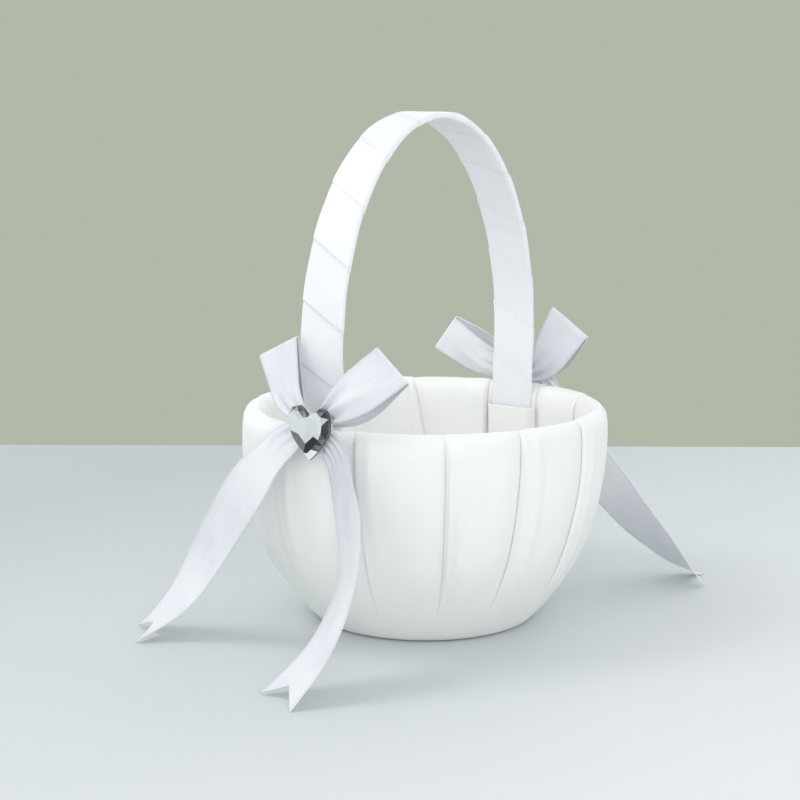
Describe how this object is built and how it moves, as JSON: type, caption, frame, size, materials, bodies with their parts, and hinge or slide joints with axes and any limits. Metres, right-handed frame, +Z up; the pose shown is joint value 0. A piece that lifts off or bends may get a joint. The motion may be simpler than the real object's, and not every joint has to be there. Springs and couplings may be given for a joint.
{
  "type": "flower girl basket",
  "caption": "Round satin-covered petal basket with a tall ribbon-wrapped handle, ribbon bows with swinging tails and heart gems on the rim.",
  "frame": {"origin": "centre of the underside, on the table", "axes": "+Z up; the handle's arch lies in the YZ plane; -Y is the front bow, +Y the back bow; +X is to the right when looking along +Y"},
  "size_m": [0.1559, 0.2553, 0.209],
  "materials": {
    "satin": "soft matte satin, white with a faint warm tint",
    "lining": "soft matte satin lining, white",
    "ribbon": "shiny woven satin ribbon, cool white, fine selvedge",
    "foam": "thin white wadding",
    "card": "stiff grey board",
    "core": "moulded off-white bowl",
    "strip": "flat flexible strip",
    "gem": "clear faceted acrylic",
    "foil": "silver foil",
    "glue": "set hot-melt glue, milky",
    "steel": "bright staple wire"
  },
  "bodies": {
    "basket": {"bowl_core": "core", "outer_padding": "foam", "inner_padding": "foam", "rim_padding": "foam", "outer_cover": "satin", "inner_lining": "lining", "floor_card": "card", "floor_cover": "lining", "base_card": "card", "base_cover": "satin", "handle_core": "strip", "handle_wrap": "ribbon", "handle_staples": "steel", "handle_pockets": "lining", "front_bow_left_loop": "ribbon", "front_bow_right_loop": "ribbon", "front_bow_knot": "ribbon", "front_bow_glue": "glue", "front_gem": "gem", "front_gem_foil": "foil", "back_bow_left_loop": "ribbon", "back_bow_right_loop": "ribbon", "back_bow_knot": "ribbon", "back_bow_glue": "glue", "back_gem": "gem", "back_gem_foil": "foil"},
    "front_left_tail": {"front_left_tail": "ribbon"},
    "front_right_tail": {"front_right_tail": "ribbon"},
    "back_left_tail": {"back_left_tail": "ribbon"},
    "back_right_tail": {"back_right_tail": "ribbon"}
  },
  "joints": [
    {"name": "front_left_tail_swing", "type": "hinge", "parent": "basket", "child": "front_left_tail", "pos_m": [-0.007, -0.081, 0.082], "axis": [-0.7779, 0.6283, 0], "range_deg": [-25, 50]},
    {"name": "front_right_tail_swing", "type": "hinge", "parent": "basket", "child": "front_right_tail", "pos_m": [0.018, -0.078, 0.078], "axis": [-0.9778, -0.2095, 0], "range_deg": [-15, 50]},
    {"name": "back_left_tail_swing", "type": "hinge", "parent": "basket", "child": "back_left_tail", "pos_m": [-0.012, 0.079, 0.079], "axis": [0.9778, 0.2095, 0], "range_deg": [-15, 50]},
    {"name": "back_right_tail_swing", "type": "hinge", "parent": "basket", "child": "back_right_tail", "pos_m": [0.004, 0.081, 0.08], "axis": [0.829, -0.5593, 0], "range_deg": [-25, 35]}
  ]
}
